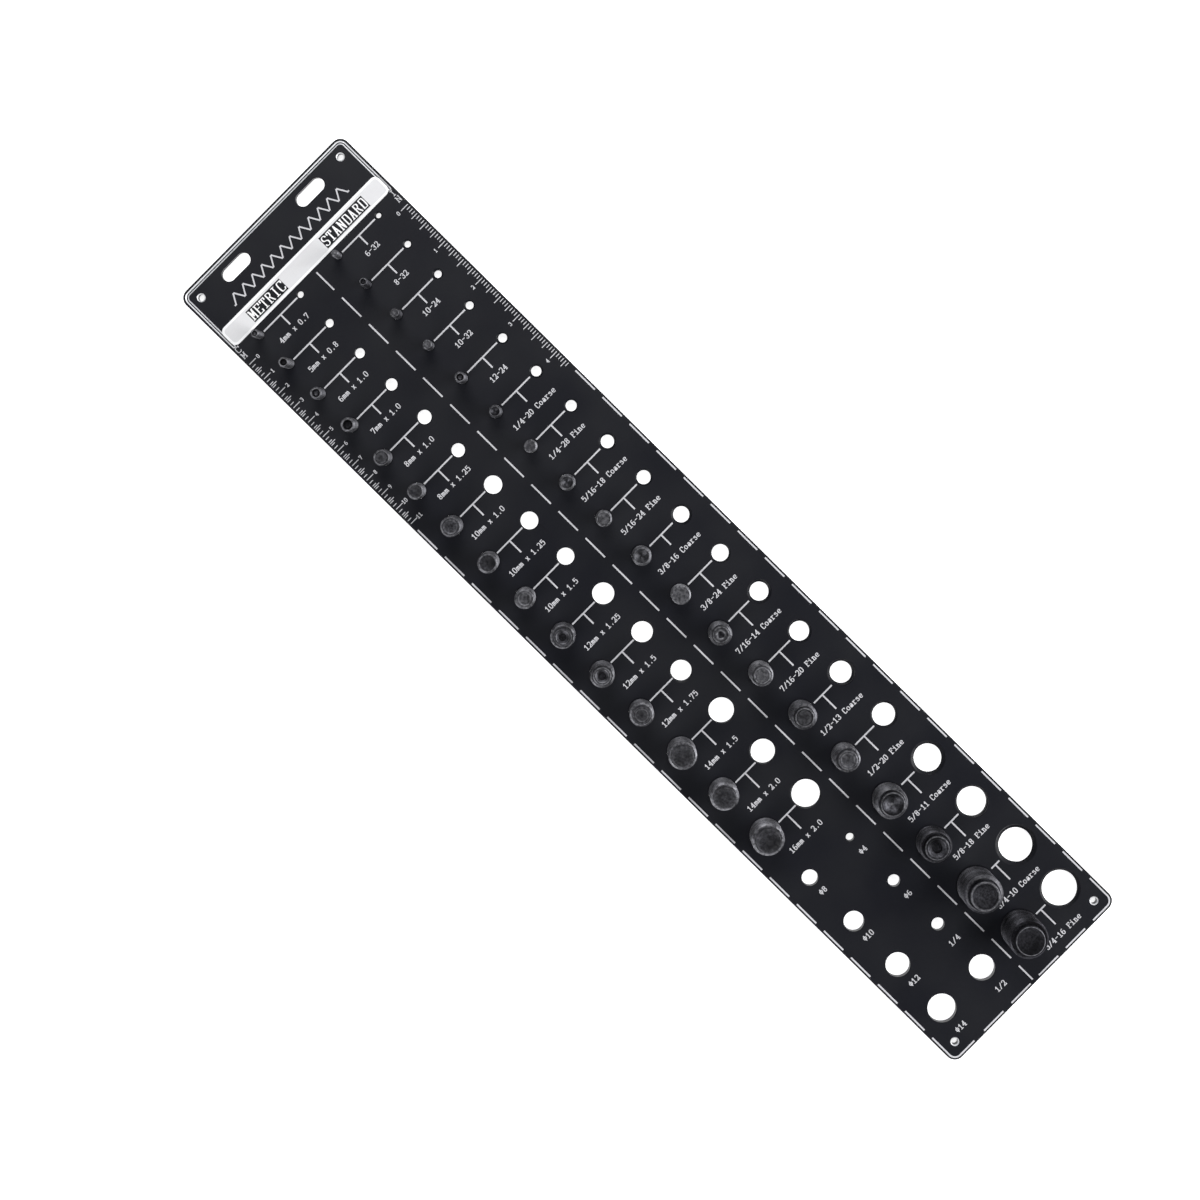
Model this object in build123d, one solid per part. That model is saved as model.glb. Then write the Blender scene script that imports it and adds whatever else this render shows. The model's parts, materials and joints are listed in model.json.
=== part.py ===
"""Thread checker: a drilled and tapped plate with a set screw standing beside each tapped hole.

A nut is tried on the screws and a bolt in the holes until one of them fits, and the plate gives its size.
The plate lies on its back in the XY plane, centred on the origin, with its head towards -X and its
screws pointing up along +Z. All sizes are in millimetres.
"""

from build123d import *
import os

INCH = 25.4

# Plate
PLATE_THICK = 5.0
HEAD_MARGIN = 40.7  # from the head edge to the first row, which leaves room for the heading
FOOT_MARGIN = 23.6
SIDE_MARGIN = 14.95  # from the outer columns to the long edges, which leaves room for the rulers
CORNER_RADIUS = 5.0
EDGE_CHAMFER = 0.4

# Rows, counted from the head. Up to the last metric size their pitch grows with the thread.
ROW_GAP = 15.75
ROW_SHARE = 0.9  # of the mean diameter of the two metric threads on either side of the gap
FOOT_PITCH = 30.0

# Columns: each series has one column of screws and one of tapped holes
INNER_COLUMN = 13.15  # from the centre line
COLUMN_PITCH = 27.65

# Mounting
CORNER_HOLE = 3.2
CORNER_INSET = 7.75
COUNTERSINK = 0.55  # of the corner holes, at the front
SLOT_LENGTH = 17.0
SLOT_WIDTH = 7.0
SLOT_INSET = 9.25
SLOT_SPREAD = 51.1

# Threads
ROOT_DEPTH = 0.6134  # of the pitch, from a screw's crest to its root
CREST_DEPTH = 0.5  # of the pitch, from a tapped hole's major radius to the radius it was drilled to
SEAT_CLEARANCE = 0.05  # between a screw and the tapped hole that it is turned into
BACK_RECESS = 0.3  # from the plate's back to the screws' back ends

# Dog points: the larger screws end in a smooth, thinner cylinder
POINT_FROM = 11.0  # the diameter from which a screw has one
POINT_SHARE = 0.75  # of the thread's diameter
POINT_LENGTH_SHARE = 0.25  # of the thread's diameter
POINT_CHAMFER = 0.4

# Hexagon sockets in the screws' back ends
SOCKET_SHARE = 0.5  # of the thread's diameter, across the flats
SOCKET_DEPTH_SHARE = 0.55  # of the thread's diameter

# Each thread: its name, diameter, pitch and how far its screw stands above the plate
METRIC_THREADS = [
    ("m4x0p7", 4.0, 0.7, 20.0),
    ("m5x0p8", 5.0, 0.8, 23.0),
    ("m6x1p0", 6.0, 1.0, 16.0),
    ("m7x1p0", 7.0, 1.0, 18.0),
    ("m8x1p0", 8.0, 1.0, 16.0),
    ("m8x1p25", 8.0, 1.25, 16.5),
    ("m10x1p0", 10.0, 1.0, 21.0),
    ("m10x1p25", 10.0, 1.25, 19.5),
    ("m10x1p5", 10.0, 1.5, 15.0),
    ("m12x1p25", 12.0, 1.25, 19.5),
    ("m12x1p5", 12.0, 1.5, 18.5),
    ("m12x1p75", 12.0, 1.75, 19.0),
    ("m14x1p5", 14.0, 1.5, 22.0),
    ("m14x2p0", 14.0, 2.0, 21.0),
    ("m16x2p0", 16.0, 2.0, 21.5),
]

# The same for the inch threads, with the diameter in inches and threads to the inch for the pitch
INCH_THREADS = [
    ("no6_32unc", 0.138, 32, 18.5),
    ("no8_32unc", 0.164, 32, 22.5),
    ("no10_24unc", 0.190, 24, 18.5),
    ("no10_32unf", 0.190, 32, 17.0),
    ("no12_24unc", 0.216, 24, 22.5),
    ("1_4_20unc", 1 / 4, 20, 14.0),
    ("1_4_28unf", 1 / 4, 28, 14.0),
    ("5_16_18unc", 5 / 16, 18, 14.0),
    ("5_16_24unf", 5 / 16, 24, 14.0),
    ("3_8_16unc", 3 / 8, 16, 12.0),
    ("3_8_24unf", 3 / 8, 24, 12.0),
    ("7_16_14unc", 7 / 16, 14, 18.0),
    ("7_16_20unf", 7 / 16, 20, 20.5),
    ("1_2_13unc", 1 / 2, 13, 21.5),
    ("1_2_20unf", 1 / 2, 20, 19.5),
    ("5_8_11unc", 5 / 8, 11, 20.5),
    ("5_8_18unf", 5 / 8, 18, 19.0),
    ("3_4_10unc", 3 / 4, 10, 30.0),
    ("3_4_16unf", 3 / 4, 16, 30.5),
]

# Plain holes under the metric columns, on the last rows: the outer column's, then the inner column's
OUTER_PLAIN = [8.0, 10.0, 12.0, 14.0]
INNER_PLAIN = [4.0, 6.0, INCH / 4, INCH / 2]


def row_places():
    """How far each row is from the head edge."""
    sizes = [thread[1] for thread in METRIC_THREADS]
    places = [HEAD_MARGIN]
    for before, after in zip(sizes, sizes[1:]):
        places.append(places[-1] + ROW_GAP + ROW_SHARE * (before + after) / 2)
    while len(places) < len(INCH_THREADS):
        places.append(places[-1] + FOOT_PITCH)
    return places


ROWS = row_places()
OUTER_COLUMN = INNER_COLUMN + COLUMN_PITCH
PLATE_LENGTH = ROWS[-1] + FOOT_MARGIN
PLATE_WIDTH = 2 * (OUTER_COLUMN + SIDE_MARGIN)
INCH_SIZES = [(name, d * INCH, INCH / tpi, proud) for name, d, tpi, proud in INCH_THREADS]


def row_x(row):
    return ROWS[row] - PLATE_LENGTH / 2


def tapped_radius(diameter, pitch):
    """A tapped hole is drilled to its thread's diameter less one pitch."""
    return diameter / 2 - CREST_DEPTH * pitch


def point_length(diameter):
    """How long a screw's dog point is, which is nothing on the smaller screws."""
    return POINT_LENGTH_SHARE * diameter if diameter >= POINT_FROM else 0.0


def full_thread(diameter, pitch, proud):
    """How far above the plate a screw keeps its thread's major diameter."""
    return proud - point_length(diameter) - ROOT_DEPTH * pitch


def gauge_holes():
    """Each hole that a bolt is tried in, as x, y and radius: the tapped ones, then the plain ones."""
    holes = []
    for row, (_, diameter, pitch, _) in enumerate(METRIC_THREADS):
        holes.append((row_x(row), -INNER_COLUMN, tapped_radius(diameter, pitch)))
    for row, (_, diameter, pitch, _) in enumerate(INCH_SIZES):
        holes.append((row_x(row), OUTER_COLUMN, tapped_radius(diameter, pitch)))
    for y, plain in ((-OUTER_COLUMN, OUTER_PLAIN), (-INNER_COLUMN, INNER_PLAIN)):
        for number, diameter in enumerate(plain):
            holes.append((row_x(len(METRIC_THREADS) + number), y, diameter / 2))
    return holes


def screw_places():
    """Each screw as its name, x, y, diameter, pitch and height above the plate."""
    metric = [(row_x(row), -OUTER_COLUMN, *size) for row, size in enumerate(METRIC_THREADS)]
    inch = [(row_x(row), INNER_COLUMN, *size) for row, size in enumerate(INCH_SIZES)]
    return [(name, x, y, diameter, pitch, proud) for x, y, name, diameter, pitch, proud in metric + inch]


def make_plate():
    """The plate with its rounded corners, bored through for the gauge, for the screws and for mounting."""
    outline = RectangleRounded(PLATE_LENGTH, PLATE_WIDTH, CORNER_RADIUS)
    blank = extrude(outline, PLATE_THICK)
    faces = blank.faces().sort_by(Axis.Z)
    blank = chamfer(faces[0].edges() + faces[-1].edges(), EDGE_CHAMFER)

    bores = Sketch()
    for x, y, radius in gauge_holes():
        bores += Pos(x, y) * Circle(radius)
    for _, x, y, diameter, pitch, _ in screw_places():
        bores += Pos(x, y) * Circle(tapped_radius(diameter, pitch))
    slot_x = SLOT_INSET - PLATE_LENGTH / 2
    for side in (-1, 1):
        bores += Pos(slot_x, side * SLOT_SPREAD / 2) * SlotOverall(SLOT_LENGTH, SLOT_WIDTH, rotation=90)
    plate = blank - extrude(bores, PLATE_THICK)

    hole = CORNER_HOLE / 2
    drill = Cylinder(hole, PLATE_THICK, align=(Align.CENTER, Align.CENTER, Align.MIN))
    cone_height = PLATE_THICK - COUNTERSINK / 2
    drill += Pos(0, 0, cone_height) * Cone(hole, hole + COUNTERSINK, COUNTERSINK)
    corner_x = PLATE_LENGTH / 2 - CORNER_INSET
    corner_y = PLATE_WIDTH / 2 - CORNER_INSET
    for place in GridLocations(2 * corner_x, 2 * corner_y, 2, 2):
        plate -= place * drill
    return plate


def make_screw(x, y, diameter, pitch, proud):
    """A headless set screw, its thread chamfered down to the root, with a socket in its back end. A larger
    screw goes on past its thread in a dog point.

    Above the plate it has its thread's major radius. Inside the plate its crests lie in the tapped
    hole's thread, and there it is drawn just inside the hole's radius, so that the two solids stay apart.
    """
    back = BACK_RECESS
    top = PLATE_THICK + proud
    radius = diameter / 2
    seated = tapped_radius(diameter, pitch) - SEAT_CLEARANCE
    root = radius - ROOT_DEPTH * pitch
    shoulder = top - point_length(diameter)
    section = [
        (0, back),
        (seated, back),
        (seated, PLATE_THICK),
        (radius, PLATE_THICK),
        (radius, PLATE_THICK + full_thread(diameter, pitch, proud)),
        (root, shoulder),
    ]
    if shoulder < top:
        point = POINT_SHARE * radius
        section += [(point, shoulder), (point, top - POINT_CHAMFER), (point - POINT_CHAMFER, top)]
    section.append((0, top))
    body = revolve(Plane.XZ * make_face(Polyline(*section, close=True)), Axis.Z)
    hexagon = RegularPolygon(SOCKET_SHARE * diameter / 2, 6, major_radius=False)
    socket = extrude(Pos(0, 0, back) * hexagon, SOCKET_DEPTH_SHARE * diameter)
    return Pos(x, y) * (body - socket)


os.makedirs("parts", exist_ok=True)
export_step(make_plate(), "parts/plate.step")
for name, x, y, diameter, pitch, proud in screw_places():
    export_step(make_screw(x, y, diameter, pitch, proud), f"parts/screw_{name}.step")
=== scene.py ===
"""Thread checker: the finish, threads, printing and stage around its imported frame.

A black anodised aluminium plate holds a set screw beside each tapped hole. The head of the plate lies
towards -X, its inch threads towards +Y, and the screws point up along +Z. Functions work in millimetres,
and a mesh is turned to metres when it becomes a piece.
"""

import functools
import json
import math
from types import SimpleNamespace

import bpy
import numpy as np
from bpy.props import FloatProperty, FloatVectorProperty, PointerProperty
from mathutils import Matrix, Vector
from mathutils.geometry import delaunay_2d_cdt


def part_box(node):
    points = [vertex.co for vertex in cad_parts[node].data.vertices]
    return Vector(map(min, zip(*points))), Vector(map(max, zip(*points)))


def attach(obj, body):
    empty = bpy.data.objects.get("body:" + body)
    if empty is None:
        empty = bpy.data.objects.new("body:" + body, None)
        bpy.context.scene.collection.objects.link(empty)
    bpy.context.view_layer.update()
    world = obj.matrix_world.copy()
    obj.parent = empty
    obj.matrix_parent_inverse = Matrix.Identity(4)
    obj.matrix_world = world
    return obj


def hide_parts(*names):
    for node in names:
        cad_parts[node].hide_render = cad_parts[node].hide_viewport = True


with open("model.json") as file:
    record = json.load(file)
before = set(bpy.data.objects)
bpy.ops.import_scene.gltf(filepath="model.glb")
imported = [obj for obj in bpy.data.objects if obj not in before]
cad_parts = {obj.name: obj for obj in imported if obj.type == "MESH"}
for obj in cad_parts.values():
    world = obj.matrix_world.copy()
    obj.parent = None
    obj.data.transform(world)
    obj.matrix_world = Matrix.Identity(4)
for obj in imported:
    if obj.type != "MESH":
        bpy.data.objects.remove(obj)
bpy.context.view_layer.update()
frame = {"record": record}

bl_info = {
    "name": "Thread Checker",
    "version": (1, 0, 0),
    "blender": (4, 5, 0),
    "location": "3D View > Sidebar > Thread Checker",
    "description": "Builds the plate, screws, printing and stage of a thread checker",
    "category": "Object",
}

MM = 0.001
INCH = 25.4
BODY = "root"
MOUNTS = {mount["name"]: mount for mount in frame["record"]["mounts"]}

# The camera looks straight down, from over a point between the plate's middle and its head. In its frame
# the plate is turned, and moved off the centre.
PHOTO_SIZE = 1200
PHOTO_SCALE = 2.062  # pixels of the photograph to a millimetre of the plate's face
SENSOR = 36  # millimetres
CAMERA_AT = (-0.072, 0.038, 1.225)
CAMERA_TURN = math.radians(44.63)
CAMERA_SHIFT = (0.0025, -0.134)

# Each soft light: its name, its place, target and width in metres, and its share of the main one's power
LIGHTS = (
    ("key_light", (1.1, 1.1, 0.9), (0, 0, 0), 1.5, 1.0),
    ("fill_light", (0.1, -1.3, 1.0), (0, 0, 0), 1.0, 0.36),
    ("head_light", (-0.85, 0.65, 1.4), (-0.1, 0, 0), 0.8, 0.36),
)

# A 60 degree thread, in shares of its pitch. A tapped inch hole is also countersunk, past its major radius.
CREST_HALF = 1 / 16
SCREW_DEPTH = 0.6134
TAPPED_DEPTH = 0.5
INCH_SINK = 0.25
FLANK = math.sqrt(3)  # how far a flank falls towards the axis for each millimetre along it

# How much lighter each part is painted, up to 1 for bare steel. Along a thread's crests this is wear. At the
# edge of a point and at a screw's end it is partly wear and partly a painted highlight, brightest on the rim
# for most screws and on the end of the thread for those listed below. On those, the shoulder below the point
# is also painted lighter, against the shade that the point casts there.
CREST_WEAR = 0.15
POINT_WEAR_AND_HIGHLIGHT = 0.1
RIM_WEAR_AND_PAINTED_LIGHT = SimpleNamespace(last_crest=0.27, shoulder=0.0, rim=0.45)
THREAD_END_WEAR_AND_PAINTED_LIGHT = SimpleNamespace(last_crest=0.4275, shoulder=0.2, rim=0.15)
THREAD_END_HIGHLIGHT_SCREWS = ("m12x1p25", "m12x1p75", "m14x1p5", "m14x2p0", "m16x2p0")

# The smooth, thinner cylinder in which a larger screw ends: its share of the thread's diameter, its chamfer
POINT_SHARE = 0.75
POINT_CHAMFER = 0.4

# The hexagon socket in a screw's back end and the drilled cone in its bottom. The socket's width across
# flats and both depths are shares of the thread's diameter, and the cone's width is a share of the socket's.
SOCKET_SHARE = 0.5
SOCKET_DEPTH_SHARE = 0.55
SOCKET_CONE_SHARE = 0.8
SOCKET_CONE_DEPTH_SHARE = 0.075

# Points along a quarter circle, on the plate's corners, the heading's bar and the last dashes, and points
# all round a hanging slot and the table
CORNER_STEPS = 13
BAR_STEPS = 7
DASH_STEPS = 9
SLOT_COLUMNS = 48
TABLE_COLUMNS = 64

SMOOTH_BELOW = 30  # degrees between two faces, past which their edge stays sharp
GROOVE_LEAN = 1.2  # how far each wall of the head frame's groove leans in, over its depth

# How far the print of each row lies off the row's holes
PRINT_SHIFTS = (
    0.15, 0.1, -0.1, 0, -0.25, -0.15, -0.4, 0, 0, -0.15,
    -0.35, -0.35, -0.2, 1.15, 0.35, -0.1, -0.5, -0.5, 0.4,
)

# How far the branches lie from the middle between the columns: on metric rows, and on each inch row in turn
METRIC_LEAN = 0.15
INCH_LEANS = (0.2,) * 7 + (-0.2, -0.18, -0.16, -0.13, -0.12, -0.12, -0.46, -0.46, -0.46, -0.3, -0.12, -0.1)

# The gaps between a leader line and its screw, and between it and its hole: a length, and a share of the
# thread's pitch that comes on top
METRIC_GAPS = ((0.4, 0.0), (0.45, 0.0))
INCH_GAPS = ((0.45, 0.42), (0.25, 1.05))

# Half the width and height of the pen's nib, for the labels, the rulers' numbers and names, the heading's
# words and the thread drawn over them
LABEL_NIB = (0.23, 0.18)
NUMBER_NIB = (0.19, 0.16)
UNIT_NIB = (0.2, 0.17)
HEADING_NIB = (0.36, 0.2)
PROFILE_NIB = (0.36, 0.36)

# A letter's width, as a share of the step from one letter to the next
LETTER_SHARE = 0.86

# Each ruler: its side of the plate, the step between its ticks, its last tick and how many steps there are
# to a number, how far in from the edge a tick comes on every so many steps, how far in the numbers stand,
# and the ruler's name
RULERS = (
    (-1, 1.0, 110, 10, ((10, 5.5), (5, 4.5), (2, 3.3)), 6.9, "CM"),
    (1, INCH / 16, 69, 16, ((8, 5.8), (4, 4.9), (1, 3.3)), 7.6, "IN"),
)
RULER_ZERO = -217.4

# The words in the windows of the heading's bar: each one's text, where its window starts and ends, its
# middle, and the step from one of its letters to the next
HEADING = (("METRIC", -38.1, -15.0, -26.5, 3.85), ("STANDARD", 12.2, 41.5, 26.8, 3.65))

# The labels of the plain holes: each text, and how far below its hole it stands
PLAIN_LABELS = {
    "plain_4p0": ("@4", 8.7),
    "plain_6p0": ("@6", 9.4),
    "plain_6p35": ("1/4", 11.1),
    "plain_12p7": ("1/2", 12.7),
    "plain_8p0": ("@8", 8.8),
    "plain_10p0": ("@10", 9.7),
    "plain_12p0": ("@12", 11.0),
    "plain_14p0": ("@14", 12.7),
}

# The screws' ends, from the rim inwards: each ring as a share of the end's radius, its depth in the same
# shares, and how much lighter it is painted, partly for wear of the black and partly as a painted highlight
TIP_FORMS = {
    "flat": ((0.93, 0.0, 0.1), (0.5, 0.0, 0.0), (0.0, 0.03, 0.05)),
    "bright": ((0.9, 0.0, 0.2), (0.5, 0.0, 0.3), (0.0, 0.03, 0.5)),
    "disc": ((0.92, 0.0, 0.4), (0.86, 0.06, 0.0), (0.78, 0.06, 0.2), (0.0, 0.06, 0.1)),
    "dish": ((0.9, 0.0, 0.3), (0.84, 0.08, 0.0), (0.3, 0.14, 0.0), (0.0, 0.16, 0.0)),
    "cup": ((0.9, 0.0, 0.2), (0.84, 0.06, 0.1), (0.3, 0.45, 0.0), (0.0, 0.5, 0.0)),
    "hollow": ((0.84, 0.0, 0.5), (0.76, 0.35, 0.0), (0.5, 0.75, 0.0), (0.0, 0.8, 0.0)),
    "deep_cup": (
        (0.84, 0.0, 0.6), (0.76, 0.35, 0.0), (0.5, 0.75, 0.0), (0.38, 0.8, 0.1),
        (0.0, 0.8, 0.25),
    ),
    "soft_rings": (
        (0.94, 0.0, 0.2), (0.84, 0.0, 0.05), (0.74, 0.03, 0.28), (0.6, 0.05, 0.1),
        (0.3, 0.08, 0.1), (0.0, 0.1, 0.0),
    ),
    "ringed_cup": (
        (0.94, 0.0, 0.28), (0.84, 0.0, 0.05), (0.76, 0.03, 0.3), (0.68, 0.08, 0.05),
        (0.45, 0.14, 0.0), (0.38, 0.45, 0.0), (0.0, 0.5, 0.0),
    ),
    "inner_ring": (
        (0.94, 0.0, 0.25), (0.8, 0.0, 0.05), (0.66, 0.04, 0.2), (0.5, 0.06, 0.4),
        (0.42, 0.1, 0.05), (0.3, 0.18, 0.0), (0.0, 0.22, 0.0),
    ),
    "worn_cup": (
        (0.9, 0.0, 0.0), (0.84, 0.06, 0.0), (0.6, 0.2, 0.07), (0.18, 0.38, 0.07),
        (0.0, 0.42, 0.55),
    ),
}

# Each thread's label, the length of the branch that points to it and how far below its leader line it
# stands, then the form of its screw's end and how far the screw's black has rubbed off all over. A screw
# that is wet with oil has less than zero there.
THREAD_LOOKS = {
    "m4x0p7": ("4mm x 0.7", 6.6, 9.3, "deep_cup", 0.0),
    "m5x0p8": ("5mm x 0.8", 6.4, 9.3, "hollow", 0.0),
    "m6x1p0": ("6mm x 1.0", 6.4, 9.3, "deep_cup", -0.05),
    "m7x1p0": ("7mm x 1.0", 6.5, 9.7, "hollow", 0.0),
    "m8x1p0": ("8mm x 1.0", 7.0, 10.2, "disc", -0.04),
    "m8x1p25": ("8mm x 1.25", 7.5, 9.8, "flat", 0.05),
    "m10x1p0": ("10mm x 1.0", 7.6, 11.6, "soft_rings", -0.06),
    "m10x1p25": ("10mm x 1.25", 8.0, 12.0, "dish", 0.03),
    "m10x1p5": ("10mm x 1.5", 8.1, 11.7, "soft_rings", 0.08),
    "m12x1p25": ("12mm x 1.25", 7.1, 12.8, "ringed_cup", -0.08),
    "m12x1p5": ("12mm x 1.5", 8.1, 13.0, "ringed_cup", 0.0),
    "m12x1p75": ("12mm x 1.75", 8.2, 12.9, "soft_rings", 0.0),
    "m14x1p5": ("14mm x 1.5", 10.1, 14.5, "flat", 0.05),
    "m14x2p0": ("14mm x 2.0", 9.9, 13.8, "flat", 0.03),
    "m16x2p0": ("16mm x 2.0", 9.8, 14.1, "flat", 0.02),
    "no6_32unc": ("6-32", 6.2, 9.2, "bright", 0.0),
    "no8_32unc": ("8-32", 6.3, 9.2, "hollow", -0.25),
    "no10_24unc": ("10-24", 6.4, 9.1, "bright", -0.12),
    "no10_32unf": ("10-32", 6.4, 9.5, "bright", -0.08),
    "no12_24unc": ("12-24", 7.0, 11.0, "deep_cup", -0.08),
    "1_4_20unc": ("1/4-20 Coarse", 7.4, 12.3, "cup", -0.12),
    "1_4_28unf": ("1/4-28 Fine", 7.7, 11.0, "flat", 0.12),
    "5_16_18unc": ("5/16-18 Coarse", 7.7, 11.6, "cup", 0.0),
    "5_16_24unf": ("5/16-24 Fine", 7.8, 11.7, "disc", 0.1),
    "3_8_16unc": ("3/8-16 Coarse", 6.9, 12.5, "cup", 0.03),
    "3_8_24unf": ("3/8-24 Fine", 9.5, 13.1, "flat", 0.22),
    "7_16_14unc": ("7/16-14 Coarse", 9.7, 13.5, "inner_ring", 0.0),
    "7_16_20unf": ("7/16-20 Fine", 9.8, 13.9, "disc", 0.09),
    "1_2_13unc": ("1/2-13 Coarse", 9.6, 13.2, "disc", -0.03),
    "1_2_20unf": ("1/2-20 Fine", 9.8, 14.7, "soft_rings", 0.05),
    "5_8_11unc": ("5/8-11 Coarse", 9.7, 15.0, "worn_cup", -0.05),
    "5_8_18unf": ("5/8-18 Fine", 10.0, 13.8, "ringed_cup", -0.2),
    "3_4_10unc": ("3/4-10 Coarse", 10.1, 15.6, "dish", -0.1),
    "3_4_16unf": ("3/4-16 Fine", 10.2, 15.2, "flat", -0.34),
}

# Letters as pen strokes. A pair of digits is a point, on a letter 8 wide and 9 high. A stroke that starts
# with ~ is rounded at its corners, and one that starts with o is rounded and closed. @ is a diameter sign.
LETTER_GRID = (8, 9)
STROKES = {
    "0": "o20 60 82 87 69 29 07 02",
    "1": "17 49 40, 10 70",
    "2": "~07 19 79 86 53 00, 00 80 82",
    "3": "~07 19 79 86 65 35, ~35 75 82 70 10 02",
    "4": "60 69 03 83, 40 80",
    "5": "79 19 15, ~15 46 86 82 70 10 01",
    "6": "~79 29 06 02 20 60 82 84 65 25 03",
    "7": "07 09 89 30",
    "8": "o25 65 87 69 29 07, o20 60 82 65 25 02",
    "9": "~10 60 83 87 69 29 07 05 24 64 86",
    ".": "40 41",
    "-": "15 75",
    "/": "00 89",
    "x": "16 70, 10 76",
    "m": "06 00, ~05 16 36 44 40, ~45 56 76 84 80",
    "@": "40 49, o22 62 84 86 67 27 06 03",
    "C": "~87 79 49 09 00 40 70 82, 89 87",
    "o": "o20 60 82 84 66 26 04 02",
    "a": "~15 36 66 74 70 80, ~73 24 02 10 50 72",
    "r": "06 26 20, 00 50, ~24 46 76 85",
    "s": "~75 66 26 05 24 64 82 60 20 01",
    "e": "~03 83 85 66 26 04 02 20 60 81",
    "F": "19 10, 09 89 87, 15 55, 00 40",
    "i": "06 46 40, 00 80, 48 49",
    "n": "06 16 10, 00 30, ~14 36 56 74 70, 50 80",
    "M": "10 19 43 79 70, 00 20, 60 80, 09 19, 79 89",
    "E": "19 10, 09 89 87, 15 65, 00 80 82",
    "T": "49 40, 20 60, 07 09 89 87",
    "R": "19 10, 00 30, ~09 59 88 65 15, 45 80",
    "I": "49 40, 20 60, 29 69",
    "S": "~87 79 19 05 84 70 10 02",
    "A": "10 49 70, 23 63, 00 20, 60 80",
    "N": "10 19 70 79, 00 20, 09 19, 69 89",
    "D": "19 10, ~09 59 89 80 50 00",
}


def millimetres(metres):
    """A length or place from the frame, in millimetres."""
    return np.asarray(metres, float) / MM


def read_threads():
    """Each thread's screw and tapped hole: their places, the thread's sizes, the heights of the screw's
    back, of the end of its full thread and of its top, and its looks.
    """
    threads = {}
    for name, (label, branch, drop, tip, rubbed) in THREAD_LOOKS.items():
        stud = MOUNTS["stud_" + name]
        tapped = MOUNTS["tapped_" + name]
        major = stud["dims"]["r_mm"]
        minor = tapped["dims"]["r_mm"]
        low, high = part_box("screw_" + name)
        threads[name] = SimpleNamespace(
            stud=millimetres(stud["pos_m"])[:2],
            hole=millimetres(tapped["pos_m"])[:2],
            major=major,
            minor=minor,
            pitch=(major - minor) / TAPPED_DEPTH,
            back=low.z / MM,
            full=stud["pos_m"][2] / MM + stud["dims"]["length_mm"] / 2,
            top=high.z / MM,
            metric=name.startswith("m"),
            label=label,
            branch=branch,
            drop=drop,
            tip=tip,
            rubbed=rubbed,
        )
    return threads


def read_plate():
    """The plate's half length, half width and thickness, and the place, radius and straight length of each
    plain bore.
    """
    high = millimetres(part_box("plate")[1])
    bores = [
        (millimetres(mount["pos_m"])[:2], mount["dims"]["r_mm"], mount["dims"]["length_mm"])
        for name, mount in MOUNTS.items()
        if name.startswith(("plain_", "corner_hole_"))
    ]
    return SimpleNamespace(half_length=high[0], half_width=high[1], thick=high[2], bores=bores)


THREADS = read_threads()
PLATE = read_plate()


# Surfaces: each is an array of points in millimetres and an array of triangles


def skin(rows):
    """Joins equally long rows of points into a surface. Counter-clockwise rows that climb face outwards."""
    rows = np.asarray(rows, float)
    count, width = rows.shape[:2]
    start = (np.arange(count - 1)[:, None] * width + np.arange(width - 1)).ravel()
    quads = np.stack([start, start + 1, start + width + 1, start + width], axis=1)
    return rows.reshape(-1, rows.shape[2]), np.concatenate([quads[:, :3], quads[:, [0, 2, 3]]])


def join(surfaces):
    """Puts surfaces side by side in one pair of arrays."""
    sizes = [len(points) for points, _ in surfaces]
    starts = np.cumsum([0] + sizes[:-1])
    points = np.concatenate([points for points, _ in surfaces])
    return points, np.concatenate([faces + start for (_, faces), start in zip(surfaces, starts)])


def weld(points, triangles):
    """Merges points that round to the same place. Returns points, triangles and which of them keep an area.
    """
    grain = 1e-4  # millimetres
    shift = 0.137  # keeps round values away from where rounding turns
    keys = np.round(points[:, :3] / grain + shift).astype(np.int64)
    _, first, same = np.unique(keys, axis=0, return_index=True, return_inverse=True)
    triangles = same.ravel()[triangles]
    a, b, c = triangles.T
    kept = (a != b) & (b != c) & (c != a)
    return points[first], triangles[kept], kept


def fill(loops, holes=()):
    """The flat area inside any of the counter-clockwise loops and outside the holes."""
    rings = [np.asarray(ring, float)[:, :2] for ring in (*loops, *holes)]
    starts = np.cumsum([0] + [len(ring) for ring in rings])
    faces = [list(range(start, end)) for start, end in zip(starts, starts[1:])]
    points = np.concatenate(rings)
    inside_only, tolerance = 1, 1e-5
    spots, _, cells, spots_from, _, cells_from = delaunay_2d_cdt(
        points.tolist(), [], faces, inside_only, tolerance
    )
    inside = [cell for cell, owners in zip(cells, cells_from) if owners and max(owners) < len(loops)]
    flat = np.array([tuple(spot) for spot in spots])
    sources = np.array([source[0] if source else -1 for source in spots_from])
    known = sources >= 0
    flat[known] = points[sources[known]]
    return flat, np.array(inside)


def at_height(flat, height):
    """Flat points as points at a height."""
    return np.column_stack([flat, np.full(len(flat), height)])


def slab(flat, low, high):
    """A closed plate of even thickness over a flat area: its top, its underside and a wall on each edge."""
    points, faces = flat
    count = len(points)
    ends = np.concatenate([faces[:, [0, 1]], faces[:, [1, 2]], faces[:, [2, 0]]])
    keys = ends[:, 0] * count + ends[:, 1]
    rim = ends[~np.isin(keys, ends[:, 1] * count + ends[:, 0])]
    a, b = rim.T
    walls = np.concatenate([np.stack([a, b, b + count], 1), np.stack([a, b + count, a + count], 1)])
    layers = np.concatenate([at_height(points, low), at_height(points, high)])
    return layers, np.concatenate([faces[:, ::-1], faces + count, walls])


def place(flat, at):
    """Lays a drawing on the plate, read along +Y with its top towards -X."""
    points, faces = flat
    return np.column_stack([at[0] - points[:, 1], at[1] + points[:, 0]]), faces


def box(x0, x1, y0, y1):
    """A rectangle as a counter-clockwise loop."""
    return np.array([(x0, y0), (x1, y0), (x1, y1), (x0, y1)], float)


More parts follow.
